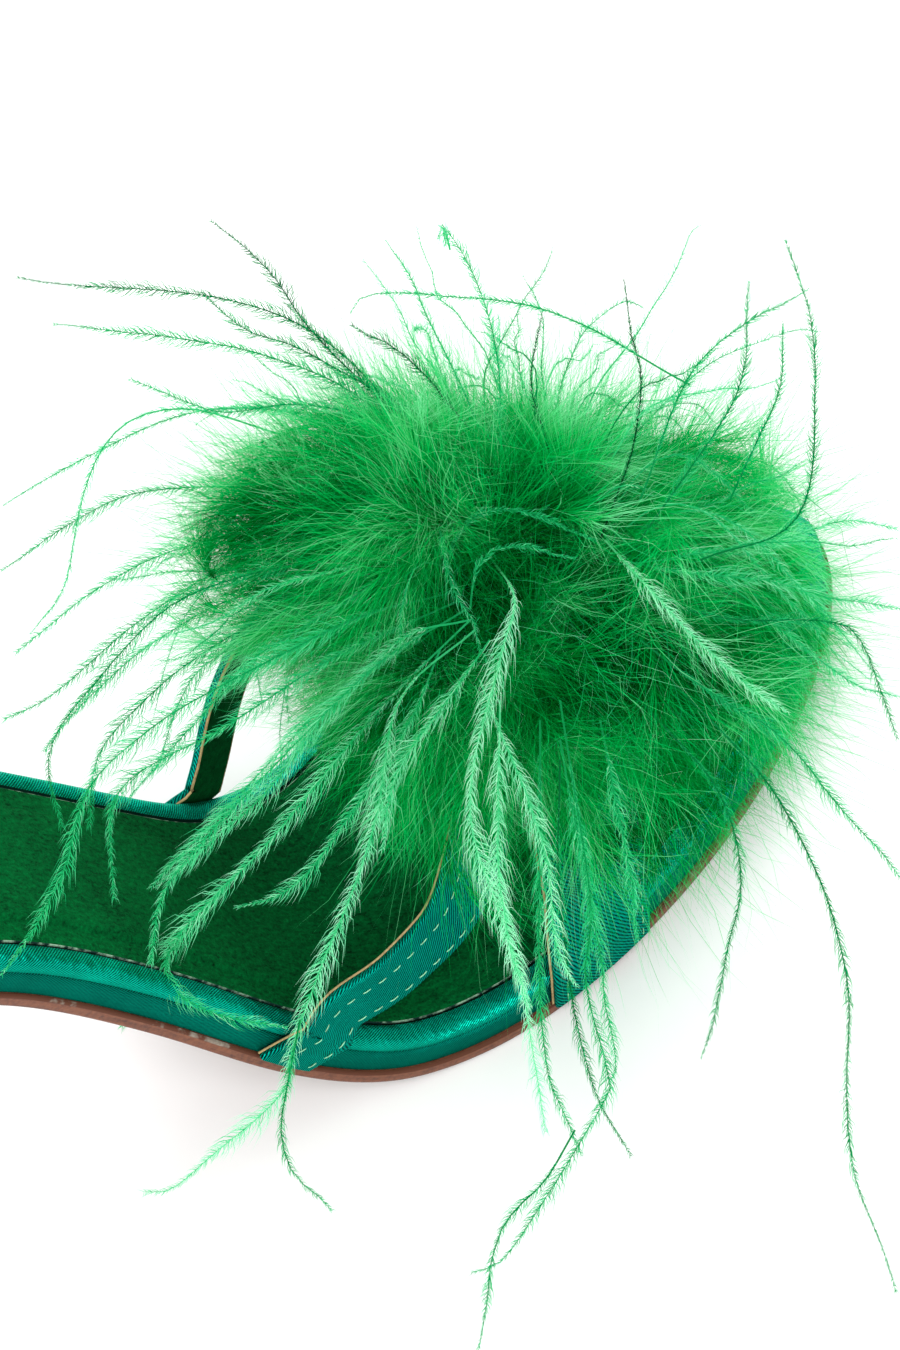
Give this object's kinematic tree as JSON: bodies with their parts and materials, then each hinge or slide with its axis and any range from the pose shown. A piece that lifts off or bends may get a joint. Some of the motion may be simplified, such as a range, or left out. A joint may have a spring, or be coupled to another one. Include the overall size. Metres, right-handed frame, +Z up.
{
  "type": "heeled sandal",
  "caption": "Right high-heeled slip-on sandal: satin footbed and heel, suede sock, crossed satin straps and a large feather pompom with long strands",
  "frame": {"origin": "on the floor, in the middle of the flat of the forefoot tread", "axes": "+X to the toe, +Y to the wearer's left, which is the big-toe side of this right shoe, +Z up"},
  "size_m": [0.2263, 0.1858, 0.0949],
  "materials": {
    "outsole_leather": "dyed brown leather, smooth cut edge",
    "satin": "teal green satin twill",
    "suede": "dark green suede",
    "heel_tip_rubber": "matt dark brown",
    "down": "dyed down feathers",
    "strand": "dyed ostrich strands"
  },
  "bodies": {
    "root": {"outsole": "outsole_leather", "footbed": "satin", "insole": "suede", "heel": "satin", "heel_tip": "heel_tip_rubber", "upper": "satin", "pompom": "down", "strands": "strand"}
  },
  "joints": []
}
